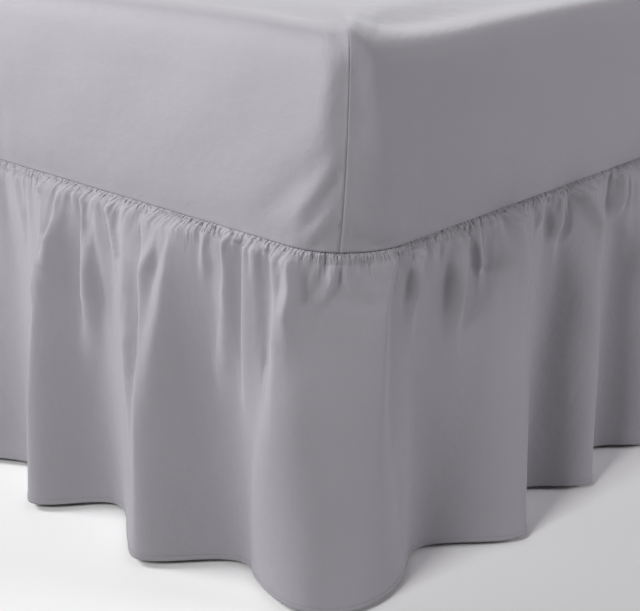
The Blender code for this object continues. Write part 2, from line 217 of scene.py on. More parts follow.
# A gather of the frill: its place at the seam, how far it drifts along the edge on its way down, its
# height, its half width and the share of the drop that it runs
Gather = namedtuple("Gather", "seam_at drift height half_width runs")
FRONT_CORNER_GATHERS = [Gather(*row) for row in (
    (-0.655, 0.015, 0.008, 0.014, 0.4),
    (-0.615, 0.04, 0.007, 0.009, 0.24),
    (-0.583, 0.024, 0.006, 0.008, 0.2),
    (-0.34, 0.008, 0.004, 0.008, 0.14),
    (-0.187, 0.0, 0.004, 0.007, 0.12),
    (-0.104, 0.004, 0.004, 0.006, 0.12),
    (-0.034, 0.002, 0.004, 0.007, 0.12),
    (0.07, 0.0, 0.004, 0.007, 0.12),
    (0.115, 0.004, 0.005, 0.008, 0.14),
    (0.15, 0.0, 0.005, 0.008, 0.16),
    (0.236, 0.006, 0.006, 0.008, 0.15),
    (0.434, 0.02, 0.008, 0.011, 0.3),
    (0.574, -0.01, 0.007, 0.01, 0.28),
    (0.645, 0.0, 0.008, 0.012, 0.5),
)]
GATHER_SPACING = 0.043
GATHER_PLACE_SPREAD = 0.011
GATHER_DRIFTS = (-0.020, 0.020)
GATHER_HEIGHTS = (0.0045, 0.0115)
GATHER_HALF_WIDTHS = (0.0090, 0.0140)
GATHER_RUNS = (0.18, 0.75)
GATHER_START = 0.018
GATHER_FLANK = 1.5
GATHER_FADE_POWER = 0.8

# The puckers: the smallest gathers, right below the seam, each one a little tube that opens downwards
PUCKER_SPACING = 0.0074
PUCKER_PLACE_SPREAD = 0.0026
PUCKER_DRIFTS = (-0.18, 0.18)
PUCKER_HEIGHTS = (0.0026, 0.0056)
PUCKER_HALF_WIDTHS = (0.0032, 0.0050)
PUCKER_RUNS = (0.018, 0.050)
PUCKER_OPENING = 7.0
PUCKER_START = 0.005
PUCKER_WINDOW = 4
COVER_PUCKER_RELIEF = 0.22
COVER_PUCKER_SHORTENING = 1.6

# A ridge of the frill: its height, the widths of its left and right flanks as seen from outside, and then
# the places and shares of the drop that its crest passes
Ridge = namedtuple("Ridge", "height left right path")
FRONT_CORNER_RIDGES = [Ridge(*row[:3], path=row[3:]) for row in (
    (0.019, 0.011, 0.044, (-0.531, 0.0), (-0.506, 0.08), (-0.48, 0.27), (-0.462, 0.45), (-0.442, 0.71),
     (-0.408, 1.0)),
    (0.014, 0.01, 0.048, (-0.483, 0.0), (-0.471, 0.08), (-0.47, 0.15), (-0.473, 0.25), (-0.474, 0.42)),
    (0.014, 0.009, 0.018, (-0.434, 0.0), (-0.42, 0.08), (-0.416, 0.15), (-0.405, 0.25), (-0.391, 0.6)),
    (0.011, 0.014, 0.03, (-0.41, 0.0), (-0.399, 0.1), (-0.398, 0.16), (-0.394, 0.25), (-0.384, 0.52)),
    (0.016, 0.009, 0.02, (-0.38, 0.0), (-0.357, 0.08), (-0.338, 0.15), (-0.315, 0.25), (-0.283, 0.4),
     (-0.262, 0.6), (-0.247, 0.8)),
    (0.01, 0.012, 0.034, (-0.352, 0.0), (-0.334, 0.08), (-0.316, 0.15), (-0.29, 0.3)),
    (0.018, 0.01, 0.046, (-0.297, 0.0), (-0.28, 0.08), (-0.272, 0.15), (-0.262, 0.25), (-0.246, 0.4),
     (-0.219, 0.8), (-0.2, 1.0)),
    (0.006, 0.014, 0.014, (-0.262, 0.0), (-0.258, 0.08), (-0.266, 0.15), (-0.274, 0.25)),
    (0.014, 0.018, 0.048, (-0.243, 0.0), (-0.237, 0.08), (-0.233, 0.15), (-0.228, 0.25), (-0.222, 0.4),
     (-0.22, 0.66)),
    (0.004, 0.007, 0.01, (-0.197, 0.0), (-0.188, 0.18)),
    (0.011, 0.011, 0.018, (-0.158, 0.0), (-0.15, 0.12), (-0.149, 0.27), (-0.153, 0.4), (-0.142, 0.5),
     (-0.124, 0.6)),
    (0.012, 0.01, 0.03, (-0.121, 0.0), (-0.112, 0.15), (-0.105, 0.3), (-0.104, 0.6)),
    (0.012, 0.009, 0.034, (-0.079, 0.0), (-0.062, 0.12), (-0.052, 0.4), (-0.06, 0.6), (-0.064, 0.95)),
    (0.01, 0.01, 0.012, (-0.056, 0.0), (-0.047, 0.1), (-0.05, 0.18), (-0.068, 0.3)),
    (0.0055, 0.009, 0.006, (-0.007, 0.0), (-0.014, 0.08), (-0.021, 0.12), (-0.036, 0.16), (-0.054, 0.2)),
    (0.004, 0.008, 0.007, (-0.001, 0.0), (0.002, 0.05), (0.006, 0.09), (0.014, 0.15)),
    (0.004, 0.008, 0.007, (0.009, 0.0), (0.016, 0.08), (0.027, 0.15)),
    (0.01, 0.034, 0.046, (-0.032, 0.24), (-0.03, 0.4), (-0.027, 0.6), (-0.024, 0.8), (-0.024, 1.0)),
    (0.011, 0.03, 0.008, (0.048, 0.0), (0.034, 0.16), (0.022, 0.51), (0.026, 0.84), (0.046, 1.0)),
    (0.012, 0.014, 0.007, (0.092, 0.0), (0.082, 0.1), (0.077, 0.24)),
    (0.014, 0.018, 0.009, (0.168, 0.0), (0.158, 0.12), (0.154, 0.36)),
    (0.009, 0.012, 0.01, (0.198, 0.0), (0.196, 0.12), (0.198, 0.2)),
    (0.012, 0.026, 0.014, (0.262, 0.0), (0.258, 0.12), (0.252, 0.32)),
    (0.017, 0.05, 0.009, (0.29, 0.0), (0.272, 0.1), (0.258, 0.2), (0.243, 0.44), (0.229, 0.69),
     (0.21, 1.0)),
    (0.008, 0.01, 0.009, (0.34, 0.0), (0.334, 0.12)),
    (0.012, 0.02, 0.008, (0.386, 0.0), (0.374, 0.2)),
    (0.01, 0.012, 0.012, (0.42, 0.0), (0.432, 0.05), (0.444, 0.14), (0.446, 0.24)),
    (0.017, 0.045, 0.009, (0.46, 0.0), (0.444, 0.12), (0.441, 0.21), (0.421, 0.47), (0.402, 0.74),
     (0.382, 1.0)),
    (0.012, 0.018, 0.01, (0.552, 0.0), (0.54, 0.18)),
    (0.014, 0.045, 0.012, (0.61, 0.0), (0.596, 0.1), (0.575, 0.4), (0.545, 1.0)),
)]
RIDGE_HEIGHTS = (0.011, 0.018)
RIDGE_RELIEF = 1.2
RIDGE_FLANKS = (0.012, 0.050)
RIDGE_BEND = 0.012
RIDGE_MIDDLE = 0.45
RIDGE_WIDTH_AT_SEAM = 0.8
RIDGE_WIDENING = 0.5
RIDGE_START = 0.026
LOW_RIDGE_START = 0.20
RIDGE_FADES_FROM = 0.45
RIDGE_FADE_AT_HEM = 0.45
CREST_ROUNDING = 0.24
CREST_SPREAD = 0.013
FOOT_ROUNDING = 0.16
FLANK_SKEW = 0.55
FLANK_SKEW_RUN = 0.15

# The hollows between gathers: where each starts at the seam, how far it drifts, the share of the drop where
# it ends, its half width and its depth. A hollow ends in a rim like the bottom of a pocket.
Hollow = namedtuple("Hollow", "at drift bottom half_width depth")
FRONT_CORNER_HOLLOWS = [Hollow(*row) for row in (
    (-0.14, -0.004, 0.44, 0.01, 0.0022),
    (-0.095, 0.014, 0.36, 0.009, 0.003),
    (-0.06, 0.004, 0.26, 0.009, 0.0015),
    (-0.022, -0.006, 0.18, 0.01, 0.0012),
    (0.02, 0.004, 0.18, 0.02, 0.003),
    (0.066, -0.006, 0.3, 0.02, 0.0012),
    (0.13, -0.01, 0.4, 0.024, 0.0014),
    (0.196, 0.0, 0.17, 0.008, 0.004),
    (0.228, 0.002, 0.18, 0.022, 0.004),
    (0.372, -0.004, 0.16, 0.012, 0.003),
    (-0.52, 0.014, 0.26, 0.014, 0.005),
    (-0.42, 0.014, 0.36, 0.01, 0.003),
)]
HOLLOW_RIM = 0.035
HOLLOW_START = 0.20
HOLLOW_SQUARENESS = 2.6
HOLLOW_WIDTH_SHARE = 0.36
HOLLOW_BOTTOMS = (0.15, 0.40)
HOLLOW_DEPTHS = (0.003, 0.006)

# The creases that cross the frill, in the same form as the cover's, but measured down from the seam
FRILL_CREASES = [Crease(*row) for row in (
    (-0.01, 0.046, 0.014, 0.056, -0.0026, 0.005),
    (0.014, 0.056, 0.034, 0.05, -0.0026, 0.005),
    (0.172, 0.014, 0.175, 0.046, -0.0012, 0.006),
    (0.18, 0.054, 0.206, 0.062, -0.0024, 0.005),
    (0.206, 0.062, 0.232, 0.056, -0.0022, 0.005),
    (0.232, 0.056, 0.246, 0.068, -0.0022, 0.006),
    (0.532, 0.004, 0.516, 0.058, -0.005, 0.005),
    (0.296, 0.004, 0.29, 0.05, -0.004, 0.006),
    (-0.136, 0.168, -0.112, 0.176, -0.003, 0.006),
    (-0.47, 0.03, -0.482, 0.07, -0.003, 0.006),
    (-0.575, 0.01, -0.548, 0.08, -0.003, 0.006),
)]

# How finely the frill is built
FRILL_COLUMNS = 1600
FRONT_CROWDING = 0.60
FRILL_TOP_ROWS = 13
FRILL_TOP_SHARE = 0.17
FRILL_TOP_CROWDING = 1.4
FRILL_LOW_ROWS = 12
TUCKED_ROW = -1.0
HEM_DEPTH = 0.007
HEM_STEP = 0.0005
HEM_STEP_AT = 0.8
HEM_ROW_AT = 0.4
SEAM_TURN = 0.0030
SEAM_TURN_DEPTH = 0.0003
SEAM_TUCK = 0.0016

# The cloth that its sewing crimps below the seam, finely and coarsely: how wide and tall a crimp is, how far
# down crimps reach and how strongly they dent the cloth, all in metres
CRIMPS = ((0.0044, 0.011, 0.020, 0.0110), (0.0110, 0.060, 0.046, 0.0060))
CRIMP_FULL_SHARE = 0.4

# How far apart the waves of a wave texture are at a scale of one
WAVE_UNIT = 2 * math.pi / 20

# Sewing thread
STITCH_PITCH = 0.0030
STITCH_LENGTH = 0.0024
STITCH_RADIUS = 0.00026
STITCH_SIDES = 4
STITCH_SHOULDER = 0.3
STITCH_SIDEWAYS = (0.13, 0.21, 0.97)
STITCH_SIDEWAYS_TOO = (1.0, 0.2, 0.1)
NEARLY_PARALLEL = 0.2
CORNER_STITCH_OFFSET = 0.0040
CORNER_STITCHES_FROM = 0.012
CORNER_STITCHES_TO = 0.236
CORNER_LINE_POINTS = 120
CORNER_STITCH_PROUD = 0.5
HEM_STITCH_AT = 0.0062
HEM_STITCH_PROUD = 0.4


def colour_setting(name, description, default):
    return FloatVectorProperty(
        name=name, description=description, default=default, size=3, min=0, max=1, subtype="COLOR",
    )


def length_setting(name, description, default, low, high):
    return FloatProperty(
        name=name, description=description, default=default, min=low, max=high, unit="LENGTH",
    )


def power_setting(name, where, default):
    return FloatProperty(
        name=name, description=f"Power of the soft light {where}", default=default, min=0, unit="POWER",
    )


class BedSkirtCloth(bpy.types.PropertyGroup):
    colour: colour_setting("Cloth Colour", "Colour of the cover and the frill", (0.301, 0.291, 0.317))
    thickness: length_setting("Thickness", "Thickness of the cloth", 0.0009, 0.0003, 0.002)
    thread_pitch: length_setting(
        "Thread Pitch", "Distance between the threads of the weave", 0.00314159, 0.0005, 0.01,
    )
    roughness: FloatProperty(
        name="Roughness", description="How dull the cloth is", default=0.82, min=0, max=1, subtype="FACTOR",
    )


class BedSkirtBed(bpy.types.PropertyGroup):
    ticking: colour_setting("Ticking Colour", "Colour of the mattress's cover", (0.74, 0.73, 0.70))
    upholstery: colour_setting("Base Colour", "Colour of the cloth on the bed base", (0.50, 0.48, 0.45))
    foot: colour_setting("Foot Colour", "Colour of the plastic feet", (0.035, 0.035, 0.037))


class BedSkirtStage(bpy.types.PropertyGroup):
    floor: colour_setting("Floor Colour", "Colour of the floor", (0.95, 0.95, 0.95))
    key: power_setting("Main Light", "at the left", 21.0)
    front: power_setting("Front Light", "in front", 15.0)
    fill: power_setting("Fill Light", "at the right", 13.4)
    back: power_setting("Back Light", "behind", 21.5)
    ambient: FloatProperty(
        name="Ambient Light", description="Brightness of the surroundings", default=0.05, min=0,
    )


def near_edge(gap):
    """The shortest way along the closed edge, as a signed distance."""
    return np.mod(gap + EDGE_LENGTH / 2, EDGE_LENGTH) - EDGE_LENGTH / 2


def smooth_step(low, high, value):
    share = np.clip((value - low) / (high - low), 0, 1)
    return share * share * (3 - 2 * share)


def crowded(share, crowding):
    """Shares of a way, moved closer together near every whole number."""
    return share - crowding * np.sin(2 * math.pi * share) / (2 * math.pi)


def curve_through(places, values, at):
    """A smooth curve through a few values, read at many places."""
    places, values, at = (np.asarray(one, float) for one in (places, values, at))
    slopes = np.gradient(values, places)
    i = np.clip(np.searchsorted(places, at, side="right") - 1, 0, len(places) - 2)
    step = places[i + 1] - places[i]
    t = (at - places[i]) / step
    start = values[i] * (1 + 2 * t) * (1 - t) ** 2 + slopes[i] * step * t * (1 - t) ** 2
    return start + values[i + 1] * t * t * (3 - 2 * t) + slopes[i + 1] * step * t * t * (t - 1)


def edge_point(at, inset=0.0, corner=CORNER_RADIUS):
    """The plan point and the outward direction for places along the edge, on the outline or inside it."""
    at, inset, corner = np.broadcast_arrays(np.asarray(at, float), inset, corner)
    along = np.mod(at + ARC / 2, EDGE_LENGTH)
    stretch = np.searchsorted(STRETCH_STARTS, along, side="right") - 1
    share = (along - STRETCH_STARTS[stretch]) / STRETCHES[stretch]
    k, straight = stretch // 2, stretch % 2
    angle = (k - 1 + np.where(straight, 1, share)) * math.pi / 2
    outward = np.stack([np.cos(angle), np.sin(angle)], axis=-1)
    forward = np.stack([-np.sin(angle), np.cos(angle)], axis=-1)
    half = np.array([BED_WIDTH, BED_LENGTH]) / 2 - inset[..., None] - corner[..., None]
    signs = np.array([(1, -1), (1, 1), (-1, 1), (-1, -1)])
    run = 2 * np.where(k % 2, half[..., 0], half[..., 1]) * share * straight
    return signs[k] * half + outward * corner[..., None] + forward * run[..., None], outward


def fold_lean(seam_at):
    """How far a fold slants towards the nearest corner on its way down."""
    away = min((seam_at - corner for corner in (*CORNERS_AT, EDGE_LENGTH)), key=abs)
    return LEAN_SHARE * away * math.exp(-((away / LEAN_FADE) ** 2))


def fill_folds(start, end, rng):
    """Valleys and crests between the crest at start and the crest at end."""
    count = max(1, round((end - start) / CREST_SPACING))
    rows = []
    for i in range(2 * count - 1):
        at = start + (end - start) * (i + 1) / (2 * count) + rng.uniform(-PLACE_SPREAD, PLACE_SPREAD)
        reach = (CREST_REACH if i % 2 else VALLEY_REACH) + rng.uniform(-REACH_SPREAD, REACH_SPREAD)
        rows.append(Fold(at, at - fold_lean(at), reach))
    return rows


def all_folds():
    """The big folds round the whole bed, in order along the seam, as the part's source draws them."""
    rng = np.random.default_rng(SEED)
    rows = list(FRONT_CORNER_FOLDS)
    for corner in CORNERS_AT[1:]:
        rows += fill_folds(rows[-1].seam_at, corner, rng)
        rows.append(Fold(corner, corner, CORNER_REACH))
    return rows + fill_folds(rows[-1].seam_at, rows[0].seam_at + EDGE_LENGTH, rng)


def all_gathers():
    """The gathers round the whole bed, in order along the seam."""
    rng = np.random.default_rng(SEED + 1)
    rows = list(FRONT_CORNER_GATHERS)
    start, end = rows[-1].seam_at, rows[0].seam_at + EDGE_LENGTH
    count = round((end - start) / GATHER_SPACING)
    for i in range(1, count):
        at = start + (end - start) * i / count + rng.uniform(-GATHER_PLACE_SPREAD, GATHER_PLACE_SPREAD)
        drift = rng.uniform(*GATHER_DRIFTS)
        height = rng.uniform(*GATHER_HEIGHTS)
        half_width = rng.uniform(*GATHER_HALF_WIDTHS)
        rows.append(Gather(at, drift, height, half_width, rng.uniform(*GATHER_RUNS)))
    return rows


def all_puckers():
    """The smallest gathers, side by side along the seam. Each leans a little its own way."""
    rng = np.random.default_rng(SEED + 3)
    count = round(EDGE_LENGTH / PUCKER_SPACING)
    rows = []
    for i in range(count):
        at = EDGE_LENGTH * i / count + rng.uniform(-PUCKER_PLACE_SPREAD, PUCKER_PLACE_SPREAD)
        height = rng.uniform(*PUCKER_HEIGHTS)
        half_width = rng.uniform(*PUCKER_HALF_WIDTHS)
        drift = rng.uniform(*PUCKER_DRIFTS)
        rows.append(Gather(at, drift, height, half_width, rng.uniform(*PUCKER_RUNS)))
    return rows


def all_ridges(folds):
    """The ridges listed, and one down each crest of the folds elsewhere."""
    rng = np.random.default_rng(SEED + 5)
    rows = list(FRONT_CORNER_RIDGES)
    for fold in folds[len(FRONT_CORNER_FOLDS):]:
        if fold.reach <= (CREST_REACH + VALLEY_REACH) / 2:
            continue
        middle = (fold.seam_at + fold.hem_at) / 2 + rng.uniform(-RIDGE_BEND, RIDGE_BEND)
        flanks = rng.permutation(RIDGE_FLANKS)
        path = ((fold.seam_at, 0.0), (middle, RIDGE_MIDDLE), (fold.hem_at, 1.0))
        rows.append(Ridge(rng.uniform(*RIDGE_HEIGHTS), *flanks, path))
    return rows


def all_hollows(gathers):
    """The hollows listed, and one between every other pair of gathers elsewhere."""
    rng = np.random.default_rng(SEED + 4)
    rows = list(FRONT_CORNER_HOLLOWS)
    elsewhere = gathers[len(FRONT_CORNER_GATHERS):]
    for left, right in zip(elsewhere[::2], elsewhere[1::2]):
        middle = (left.seam_at + right.seam_at) / 2
        half_width = (right.seam_at - left.seam_at) * HOLLOW_WIDTH_SHARE
        bottom = rng.uniform(*HOLLOW_BOTTOMS)
        rows.append(Hollow(middle, 0.0, bottom, half_width, rng.uniform(*HOLLOW_DEPTHS)))
    return rows


def hem_reach(folds, at):
    """How far the hem stands out below places on the seam, turning smoothly at each crest and valley."""
    places = np.array([fold.seam_at for fold in folds])
    reaches = np.array([fold.reach for fold in folds])
    along = places[0] + np.mod(at - places[0], EDGE_LENGTH)
    places = np.append(places, places[0] + EDGE_LENGTH)
    reaches = np.append(reaches, reaches[0])
    i = np.clip(np.searchsorted(places, along, side="right") - 1, 0, len(places) - 2)
    share = (along - places[i]) / (places[i + 1] - places[i])
    return reaches[i] + (reaches[i + 1] - reaches[i]) * (1 - np.cos(math.pi * share)) / 2


def crest_profile(away, left, right):
    """The height of a crest with a round top and two straight flanks, as a share, at a distance from it."""
    flank = away / np.where(away < 0, left, right)
    rise = 1 + CREST_ROUNDING - np.sqrt(flank**2 + CREST_ROUNDING**2)
    return (rise + np.sqrt(rise**2 + FOOT_ROUNDING**2)) / 2


def gathers_out(gathers, at, drop):
    """How far the gathers stand out at places along the seam and shares of the drop."""
    out = np.zeros(np.broadcast(at, drop).shape)
    for row in gathers:
        nearest = min((float(near_edge(row.seam_at - corner)) for corner in CORNERS_AT), key=abs)
        skew = FLANK_SKEW * math.tanh(nearest / FLANK_SKEW_RUN)
        share = np.clip(drop / row.runs, 0, 1)
        flank = GATHER_FLANK * row.half_width * (1 + share)
        away = near_edge(at - row.seam_at - row.drift * share) / flank
        fade = np.cos(math.pi / 2 * share) ** GATHER_FADE_POWER * np.minimum(1, drop / GATHER_START)
        out += row.height * fade * crest_profile(away, 1 + skew, 1 - skew)
    return out


def ridges_out(ridges, at, drop):
    """How far the ridges stand out at places along the bed's edge and shares of the drop."""
    out = np.zeros(at.shape)
    for row in ridges:
        places, shares = zip(*row.path)
        away = near_edge(at - np.interp(drop, shares, places))
        wide = RIDGE_WIDTH_AT_SEAM + RIDGE_WIDENING * drop
        spread = CREST_SPREAD * drop**2
        start, end = shares[0], shares[-1]
        rise = smooth_step(start, start + (LOW_RIDGE_START if start else RIDGE_START), drop)
        fade = (RIDGE_FADE_AT_HEM if end == 1 else 1.0) * smooth_step(end * RIDGE_FADES_FROM, end, drop)
        profile = crest_profile(away / wide, row.left + spread, row.right + spread)
        out += RIDGE_RELIEF * row.height * (rise * (1 - fade)) * profile
    return out


def puckers_out(puckers, at, drop):
    """How far the puckers stand out: tubes side by side, with a sharp valley between each two."""
    at, drop = np.broadcast_arrays(at, drop)
    out = np.zeros(at.shape)
    for row in puckers:
        near = np.abs(near_edge(at[0] - row.seam_at)) < PUCKER_WINDOW * row.half_width
        down = drop[:, near]
        away = near_edge(at[:, near] - row.seam_at - row.drift * down)
        away = away / (row.half_width * (1 + PUCKER_OPENING * down))
        tube = np.sqrt(np.clip(1 - away**2, 0, 1))
        rise = row.height * smooth_step(0, PUCKER_START, down) * np.exp(-down / row.runs)
        out[:, near] = np.maximum(out[:, near], rise * tube)
    return out


def hollows_out(hollows, at, drop):
    """How far the hollows sink, each with a rim at its lower end."""
    out = np.zeros(np.broadcast(at, drop).shape)
    for row in hollows:
        share = np.clip(drop / row.bottom, 0, 1)
        away = near_edge(at - row.at - row.drift * share) / row.half_width
        rim = row.bottom - HOLLOW_RIM * away**2
        deep = smooth_step(0, HOLLOW_START * row.bottom, drop)
        deep = deep * (1 - smooth_step(rim - HOLLOW_RIM, rim, drop))
        out -= row.depth * deep * np.exp(-(np.abs(away) ** HOLLOW_SQUARENESS))
    return out


class FrillShape:
    """The frill's outer surface as a function of the place along the seam and the share of the drop."""

    def __init__(self):
        self.folds = all_folds()
        self.gathers = all_gathers()
        self.puckers = all_puckers()
        self.hollows = all_hollows(self.gathers)
        self.ridges = all_ridges(self.folds)

    def points(self, at, drop):
        """Points for a grid: at is a row of places, drop a column of shares."""
        at, drop = np.broadcast_arrays(at, drop)
        tucked = drop < 0
        drop = np.maximum(drop, 0)
        reach = hem_reach(self.folds, at)
        places = np.array([fold.seam_at for fold in self.folds])
        shifts = np.array([fold.hem_at - fold.seam_at for fold in self.folds])
        shift = np.interp(at, places, shifts, period=EDGE_LENGTH)
        puff = PUFF_REACH * (1 - np.exp(-drop / PUFF_DEPTH)) * (1 - drop)
        out = SEAM_REACH + puff + (reach - SEAM_REACH) * drop**FLARE_POWER
        out += gathers_out(self.gathers, at, drop)
        out += puckers_out(self.puckers, at, drop)
        out += hollows_out(self.hollows, at, drop)
        out += ridges_out(self.ridges, at + shift * drop, drop)
        out += creases_out(FRILL_CREASES, at + shift * drop, drop * DROP)
        out -= SEAM_TURN_DEPTH * (1 - smooth_step(0, SEAM_TURN, drop * DROP)) + SEAM_TUCK * tucked
        out += HEM_STEP * smooth_step(1 - HEM_DEPTH / DROP, 1 - HEM_STEP_AT * HEM_DEPTH / DROP, drop)
        point, outward = edge_point(at + shift * drop)
        height = SEAM_HEIGHT * (1 - drop) + (HEM_HEIGHT + HEM_LIFT * reach) * drop + SEAM_TUCK * tucked
        return np.concatenate([point + outward * out[..., None], height[..., None]], axis=-1)


def corner_dip(at, below_top, inset):
    """How far the pull of the cover presses the top down near each corner."""
    near = sum(np.exp(-((near_edge(at - corner) / CORNER_DIP_RUN) ** 2)) for corner in CORNERS_AT[1:])
    places, dips = zip(*FRONT_CORNER_DIPS)
    front = curve_through(places, dips, np.clip(near_edge(at), places[0], places[-1]))
    on_side = np.clip(1 - below_top / DIP_REACHES_DOWN, 0, 1)
    return (CORNER_DIP * near + front) * on_side * (1 - smooth_step(DIP_FADES_FROM, FLAT_INSET, inset))


def seam_place(corner, below_top):
    """Where a corner's seam lies along the edge: it leans a little on its way down."""
    return CORNERS_AT[corner] + SEAM_LEANS[corner] * below_top / MATTRESS_DEPTH


def creases_out(creases, at, down):
    """How far creases stand out at places along the edge and distances down."""
    out = np.zeros(at.shape)
    for row in creases:
        run_at, run_down = row.end_at - row.start_at, row.end_down - row.start_down
        length = math.hypot(run_at, run_down)
        away_at, away_down = near_edge(at - row.start_at), down - row.start_down
        along = (away_at * run_at + away_down * run_down) / length
        across = (away_at * run_down - away_down * run_at) / length
        past = np.clip(np.abs(along - length / 2) - length * CREASE_FULL_SHARE, 0, None)
        ends = past / (length * CREASE_END_SHARE)
        out += row.height * np.exp(-((across / row.half_width) ** 2) - ends**2)
    return out


def corner_seams_out(at, below_top, on_side):
    """The groove and the two lips of the sewn seam down each corner."""
    out = np.zeros(at.shape)
    for corner in range(len(CORNERS_AT)):
        away = near_edge(at - seam_place(corner, below_top))
        out -= SEAM_GROOVE_DEPTH * np.exp(-((away / SEAM_GROOVE_WIDTH) ** 2))
        for side in (-1, 1):
            out += SEAM_LIP_HEIGHT * np.exp(-(((away - side * SEAM_LIP_AT) / SEAM_LIP_WIDTH) ** 2))
    return out * on_side


def swells_out(at, below_top):
    """Broad soft unevenness all over the sides, from a few long waves."""
    waves = sum(
        strength * np.sin(2 * math.pi * (count * at / EDGE_LENGTH) + turn * below_top + phase)
        for count, turn, phase, strength in SWELLS
    )
    return SWELL_HEIGHT * waves * np.sin(math.pi * np.clip(below_top / MATTRESS_DEPTH, 0, 1))


def seam_puckers_out(puckers, at, below_top):
    """The same puckers as the frill's, faint and short, above the seam."""
    up = np.clip((MATTRESS_DEPTH - below_top) / DROP, 0, None)
    return COVER_PUCKER_RELIEF * puckers_out(puckers, at, up * COVER_PUCKER_SHORTENING)


def cover_out(puckers, at, below_top, on_side):
    """How far everything on the cover's sides stands out."""
    out = creases_out(COVER_CREASES, at, below_top) + swells_out(at, below_top)
    out = out + corner_seams_out(at, below_top, on_side)
    return out + seam_puckers_out(puckers, at, below_top)


def cover_points(at, puckers, count=COVER_ROWS):
    """The cover's outer surface as rings of points, from its lower edge to the middle of its top."""
    runs = np.concatenate([[0], np.hypot(np.diff(RINGS_BELOW), np.diff(RING_INSETS)).cumsum()])
    at_run = np.unique([*LOWEST_RUNS, *np.linspace(0, runs[-1], count)[1:]])[:, None]
    profile = [curve_through(runs, one, at_run) for one in (RINGS_BELOW, RING_INSETS, RING_CORNERS)]
    at, below_top, inset, corner = np.broadcast_arrays(at, *profile)
    lean = sum(
        (seam_place(k, below_top) - place) * np.exp(-((near_edge(at - place) / SEAM_LEAN_RUN) ** 2))
        for k, place in enumerate(CORNERS_AT)
    )
    at = at + lean
    on_side = 1 - smooth_step(*SIDE_TURNS_IN, inset)
    out = cover_out(puckers, at, below_top, on_side) * on_side
    point, outward = edge_point(at, inset, corner)
    height = SEAM_HEIGHT + MATTRESS_DEPTH - below_top - corner_dip(at, below_top, inset)
    return np.concatenate([point + outward * out[..., None], height[..., None]], axis=-1), inset, at_run


def cover_columns():
    """Places along the edge for the cover, close together at the corners and closest at their seams."""
    columns = []
    for k, corner in enumerate(CORNERS_AT):
        arc = ARC * (np.arange(COVER_ARC_COLUMNS) / COVER_ARC_COLUMNS - 0.5)
        arc = arc[np.abs(arc) > SEAM_COLUMN_OFFSETS[-1] + SEAM_COLUMN_CLEARANCE]
        seam = [0.0] + [side * offset for side in (-1, 1) for offset in SEAM_COLUMN_OFFSETS]
        columns += list(corner + np.sort(np.concatenate([arc, seam])))
        side, steps = (SIDE_X, COVER_WIDTH_COLUMNS) if k % 2 else (SIDE_Y, COVER_LENGTH_COLUMNS)
        columns += list(corner + ARC / 2 + side * crowded(np.arange(steps) / steps, CORNER_CROWDING))
    return np.array(columns)


def surface_normals(points):
    """The outward direction at each point of a grid of rings."""
    along = np.roll(points, -1, axis=1) - np.roll(points, 1, axis=1)
    up = np.gradient(points, axis=0)
    normals = np.cross(along, up)
    return normals / np.linalg.norm(normals, axis=-1, keepdims=True)


def ring_grid(rows, columns):
    """The number of each point of a grid of rings, that of the next one along, and the quads between them."""
    number = np.arange(rows * columns).reshape(rows, columns)
    after = np.roll(number, -1, axis=1)
    return number, after, np.stack([number[:-1], after[:-1], after[1:], number[1:]], axis=-1).reshape(-1, 4)


def mesh_object(name, points, faces):
    mesh = bpy.data.meshes.new(name)
    mesh.from_pydata(points.reshape(-1, 3).tolist(), [], faces)
    mesh.shade_smooth()
    made = bpy.data.objects.new(name, mesh)
    bpy.context.scene.collection.objects.link(made)
    return made


def sheet_object(name, outer, flat, thickness, capped):
    """A closed thin sheet from rings of outer points, lowest first.

    Its UV map is each quad's place on the flat cloth, in metres: flat holds the near and the far side of
    every quad of a ring, as rings of (2, 2).
    """
    rows, columns = outer.shape[:2]
    inner = outer - surface_normals(outer) * thickness
    number, after, skin = ring_grid(rows, columns)
    near, far = flat[:, :, 0], flat[:, :, 1]
    skin_flat = np.stack([near[:-1], far[:-1], far[1:], near[1:]], axis=2).reshape(-1, 4, 2)
    inside = rows * columns
    low = np.stack([number[0] + inside, after[0] + inside, after[0], number[0]], axis=-1)
    faces = [skin, skin[:, ::-1] + inside, low]
    places = [skin_flat, skin_flat[:, ::-1], np.stack([near[0], far[0], far[0], near[0]], axis=1)]
    if not capped:
        faces.append(np.stack([number[-1], after[-1], after[-1] + inside, number[-1] + inside], axis=-1))
        places.append(np.stack([near[-1], far[-1], far[-1], near[-1]], axis=1))
    faces = np.concatenate(faces).tolist()
    places = np.concatenate(places).reshape(-1, 2)
    if capped:
        faces += [number[-1].tolist(), (number[-1][::-1] + inside).tolist()]
        places = np.concatenate([places, near[-1], near[-1][::-1]])
    made = mesh_object(name, np.concatenate([outer, inner]), faces)
    layer = made.data.uv_layers.new(name="cloth")
    layer.data.foreach_set("uv", places.astype(np.float32).ravel())
    return made


def strip_flat(points, along):
    """Places on a flat strip of cloth: along it, as given for each column and the end, and up to its seam."""
    steps = np.linalg.norm(np.diff(points, axis=0), axis=-1)
    up = np.concatenate([np.zeros((1, points.shape[1])), steps.cumsum(axis=0)])
    up = up - up[-1]
    near = np.stack([np.broadcast_to(along[:-1], up.shape), up], axis=-1)
    far = np.stack([np.broadcast_to(along[1:], up.shape), np.roll(up, -1, axis=1)], axis=-1)
    return np.stack([near, far], axis=2)


